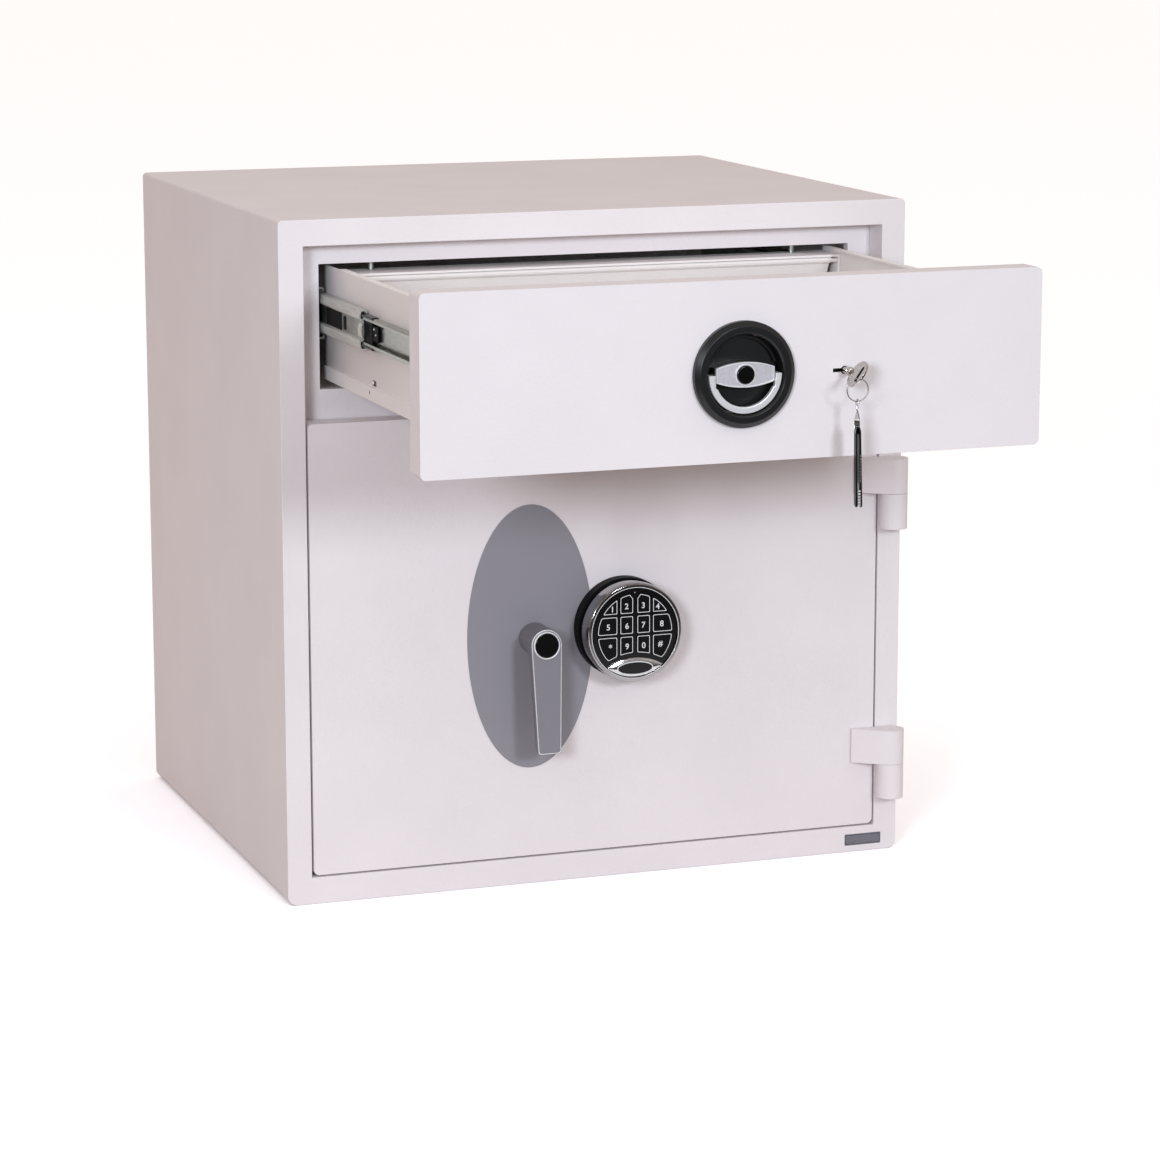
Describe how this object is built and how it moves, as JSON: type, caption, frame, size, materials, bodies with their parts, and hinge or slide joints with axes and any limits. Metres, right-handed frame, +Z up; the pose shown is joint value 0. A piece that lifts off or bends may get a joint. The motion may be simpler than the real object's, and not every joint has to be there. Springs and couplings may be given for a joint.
{
  "type": "drop safe with deposit drawer",
  "caption": "Steel drop safe with a deposit drawer on ball slides above a hinged door with a keypad lock, lever handle and sliding boltwork.",
  "frame": {"origin": "centre of the cabinet's base, on the surface that it stands on", "axes": "+X to the right seen from the front, +Y from the door to the back, +Z up"},
  "size_m": [0.59, 0.866, 0.61],
  "materials": {
    "powder_coat": "warm off-white fine-textured powder coat",
    "inner_paint": "thin off-white powder coat on inner sheet",
    "zinc": "zinc-plated cold-rolled steel",
    "chrome": "bright chrome plating",
    "satin_silver": "satin silver",
    "grey_lever": "satin grey die casting",
    "grey_plate": "satin grey plate",
    "black_plastic": "semi-gloss black moulding",
    "black_rubber": "black silicone rubber",
    "steel": "bare machined steel",
    "filler": "light mineral filling",
    "black_strap": "smooth black strap"
  },
  "bodies": {
    "cabinet": {"outer_casing": "powder_coat", "front_frame": "powder_coat", "barrier_fill": "filler", "inner_liner": "inner_paint", "drawer_bay_floor": "inner_paint", "hinge_lug_lower": "powder_coat", "hinge_lug_upper": "powder_coat", "cabinet_slide_left": "zinc", "cabinet_slide_right": "zinc"},
    "slide_middles": {"middle_slide_left": "zinc", "middle_slide_right": "zinc"},
    "drawer": {"drawer_front": "powder_coat", "drawer_tray": "inner_paint", "rear_header": "inner_paint", "drawer_slide_left": "zinc", "drawer_slide_right": "zinc", "handle_bezel": "black_plastic", "drawer_lock_case": "steel"},
    "flap": {"rear_flap": "inner_paint"},
    "drawer_handle": {"handle_dish": "black_plastic", "handle_bridge": "satin_silver", "drawer_latch_arm": "steel"},
    "bail": {"handle_bail": "satin_silver"},
    "key": {"drawer_key": "chrome", "drawer_lock_arm": "steel"},
    "ring": {"key_ring": "chrome"},
    "fob": {"fob_hook": "chrome", "fob_strap": "black_strap"},
    "door": {"door_skin": "powder_coat", "door_back_plate": "inner_paint", "boltwork_housing": "inner_paint", "boltwork_cover": "inner_paint", "hinge_side_dog": "steel", "hinge_strap_lower": "powder_coat", "hinge_strap_upper": "powder_coat", "oval_plate": "grey_plate", "electronic_lock": "satin_silver", "keypad_base": "black_plastic", "keypad_housing": "chrome", "keypad_face": "black_plastic"},
    "door_handle": {"door_lever": "grey_lever", "lever_cap": "black_plastic", "handle_spindle": "steel"},
    "boltwork": {"bolt_carriage": "steel", "locking_bolt_lower": "chrome", "locking_bolt_middle": "chrome", "locking_bolt_upper": "chrome"},
    "swing_bolt": {"lock_swing_bolt": "steel"},
    "button_1": {"key_1": "black_rubber"},
    "button_2": {"key_2": "black_rubber"},
    "button_3": {"key_3": "black_rubber"},
    "button_4": {"key_4": "black_rubber"},
    "button_5": {"key_5": "black_rubber"},
    "button_6": {"key_6": "black_rubber"},
    "button_7": {"key_7": "black_rubber"},
    "button_8": {"key_8": "black_rubber"},
    "button_star": {"key_star": "black_rubber"},
    "button_9": {"key_9": "black_rubber"},
    "button_0": {"key_0": "black_rubber"},
    "button_hash": {"key_hash": "black_rubber"}
  },
  "joints": [
    {"name": "drawer_slide", "type": "slide", "parent": "cabinet", "child": "drawer", "axis": [0, 1, 0], "range_m": [0, 0.327]},
    {"name": "middle_slide", "type": "slide", "parent": "cabinet", "child": "slide_middles", "axis": [0, 1, 0], "range_m": [0, 0.117]},
    {"name": "flap_hinge", "type": "hinge", "parent": "drawer", "child": "flap", "pos_m": [0, -0.2343, 0.5547], "axis": [1, 0, 0], "range_deg": [0, 45]},
    {"name": "drawer_handle_turn", "type": "hinge", "parent": "drawer", "child": "drawer_handle", "pos_m": [0.003, -0.577, 0.507], "axis": [0, 1, 0], "range_deg": [0, 90]},
    {"name": "bail_swing", "type": "hinge", "parent": "drawer_handle", "child": "bail", "pos_m": [0.003, -0.5755, 0.507], "axis": [-1, 0, 0], "range_deg": [0, 90]},
    {"name": "key_turn", "type": "hinge", "parent": "drawer", "child": "key", "pos_m": [0.093, -0.577, 0.5058], "axis": [0, 1, 0], "range_deg": [-80, 0]},
    {"name": "ring_turn", "type": "hinge", "parent": "key", "child": "ring", "pos_m": [0.09099, -0.608, 0.50293], "axis": [0, 1, 0], "range_deg": [0, 80]},
    {"name": "fob_swing", "type": "hinge", "parent": "ring", "child": "fob", "pos_m": [0.09099, -0.608, 0.48433], "axis": [0, 1, 0], "range_deg": [-25, 25]},
    {"name": "door_hinge", "type": "hinge", "parent": "cabinet", "child": "door", "pos_m": [0.2825, -0.2628, 0.2], "axis": [0, 0, 1], "range_deg": [0, 110], "deforming": ["fob_strap"]},
    {"name": "door_handle_turn", "type": "hinge", "parent": "door", "child": "door_handle", "pos_m": [-0.064, -0.25, 0.228], "axis": [0, 1, 0], "range_deg": [0, 90]},
    {"name": "boltwork_slide", "type": "slide", "parent": "door", "child": "boltwork", "axis": [-1, 0, 0], "range_m": [0, 0.022]},
    {"name": "swing_bolt_turn", "type": "hinge", "parent": "door", "child": "swing_bolt", "pos_m": [-0.014, -0.191, 0.2265], "axis": [0, 1, 0], "range_deg": [-80, 0]},
    {"name": "press_1", "type": "slide", "parent": "door", "child": "button_1", "axis": [0, 1, 0], "range_m": [0, 0.001], "stiffness_N_per_m": 300},
    {"name": "press_2", "type": "slide", "parent": "door", "child": "button_2", "axis": [0, 1, 0], "range_m": [0, 0.001], "stiffness_N_per_m": 300},
    {"name": "press_3", "type": "slide", "parent": "door", "child": "button_3", "axis": [0, 1, 0], "range_m": [0, 0.001], "stiffness_N_per_m": 300},
    {"name": "press_4", "type": "slide", "parent": "door", "child": "button_4", "axis": [0, 1, 0], "range_m": [0, 0.001], "stiffness_N_per_m": 300},
    {"name": "press_5", "type": "slide", "parent": "door", "child": "button_5", "axis": [0, 1, 0], "range_m": [0, 0.001], "stiffness_N_per_m": 300},
    {"name": "press_6", "type": "slide", "parent": "door", "child": "button_6", "axis": [0, 1, 0], "range_m": [0, 0.001], "stiffness_N_per_m": 300},
    {"name": "press_7", "type": "slide", "parent": "door", "child": "button_7", "axis": [0, 1, 0], "range_m": [0, 0.001], "stiffness_N_per_m": 300},
    {"name": "press_8", "type": "slide", "parent": "door", "child": "button_8", "axis": [0, 1, 0], "range_m": [0, 0.001], "stiffness_N_per_m": 300},
    {"name": "press_star", "type": "slide", "parent": "door", "child": "button_star", "axis": [0, 1, 0], "range_m": [0, 0.001], "stiffness_N_per_m": 300},
    {"name": "press_9", "type": "slide", "parent": "door", "child": "button_9", "axis": [0, 1, 0], "range_m": [0, 0.001], "stiffness_N_per_m": 300},
    {"name": "press_0", "type": "slide", "parent": "door", "child": "button_0", "axis": [0, 1, 0], "range_m": [0, 0.001], "stiffness_N_per_m": 300},
    {"name": "press_hash", "type": "slide", "parent": "door", "child": "button_hash", "axis": [0, 1, 0], "range_m": [0, 0.001], "stiffness_N_per_m": 300}
  ],
  "couplings": [
    {"joint": "middle_slide", "follows": "drawer_slide", "ratio": 0.357},
    {"joint": "ring_turn", "follows": "key_turn", "ratio": -1},
    {"joint": "boltwork_slide", "follows": "door_handle_turn", "m_per_rad": 0.014},
    {"joint": "swing_bolt_turn", "follows": "door_handle_turn", "ratio": -0.8888}
  ]
}
